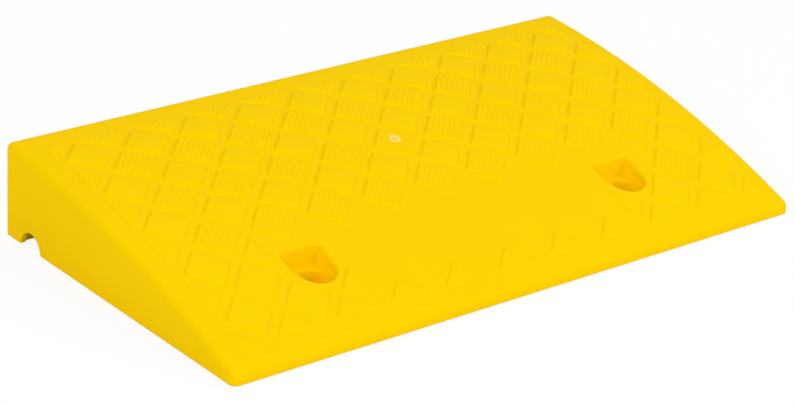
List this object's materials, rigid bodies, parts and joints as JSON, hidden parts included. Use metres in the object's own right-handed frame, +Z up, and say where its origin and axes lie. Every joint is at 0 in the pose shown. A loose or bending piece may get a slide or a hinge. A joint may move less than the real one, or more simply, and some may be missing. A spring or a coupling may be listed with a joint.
{
  "type": "kerb ramp",
  "caption": "Wedge-shaped moulded plastic kerb ramp with an arched tread deck, recessed bolt pockets, a cable channel and push-in rubber feet, for wheelchairs and trolleys.",
  "frame": {"origin": "on the ground under the middle of the ramp's plan", "axes": "+X along the kerb, +Y up the slope from the low lip to the high back, +Z up"},
  "size_m": [0.5, 0.27, 0.0705],
  "materials": {
    "yellow_plastic": "moulded, satin",
    "foot_rubber": "moulded, matte"
  },
  "bodies": {
    "root": {"ramp_body": "yellow_plastic", "foot_front_left_outer": "foot_rubber", "foot_front_left_inner": "foot_rubber", "foot_front_right_inner": "foot_rubber", "foot_front_right_outer": "foot_rubber", "foot_back_left_outer": "foot_rubber", "foot_back_left_inner": "foot_rubber", "foot_back_right_inner": "foot_rubber", "foot_back_right_outer": "foot_rubber"}
  },
  "joints": []
}
